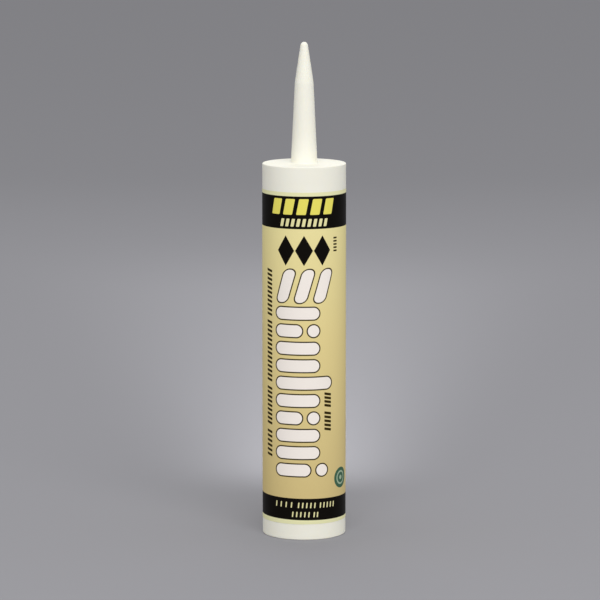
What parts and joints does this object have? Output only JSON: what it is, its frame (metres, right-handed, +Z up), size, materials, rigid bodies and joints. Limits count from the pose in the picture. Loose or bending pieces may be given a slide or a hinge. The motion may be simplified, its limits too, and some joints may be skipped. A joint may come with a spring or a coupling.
{
  "type": "caulk tube",
  "caption": "White moulded sealant cartridge with a closed tapered nozzle and flat shoulder, a printed wrap label, and a ribbed plunger that slides up the bore.",
  "frame": {"origin": "centre of the foot, on the surface that the tube stands on", "axes": "+Z up along the barrel's axis towards the nozzle's tip, -Y towards the printed front, label's lap at +Y"},
  "size_m": [0.0486, 0.0487, 0.2874],
  "materials": {
    "barrel_plastic": "satin white moulded polyethylene",
    "plunger_plastic": "soft satin, milky",
    "sealant_paste": "wet paste",
    "label_film": "printed film, soft gloss"
  },
  "bodies": {
    "cartridge": {"cartridge": "barrel_plastic", "label": "label_film", "sealant": "sealant_paste"},
    "plunger": {"plunger": "plunger_plastic"}
  },
  "joints": [
    {"name": "plunger_slide", "type": "slide", "parent": "cartridge", "child": "plunger", "axis": [0, 0, 1], "range_m": [0, 0.1834], "deforming": ["sealant"]}
  ]
}
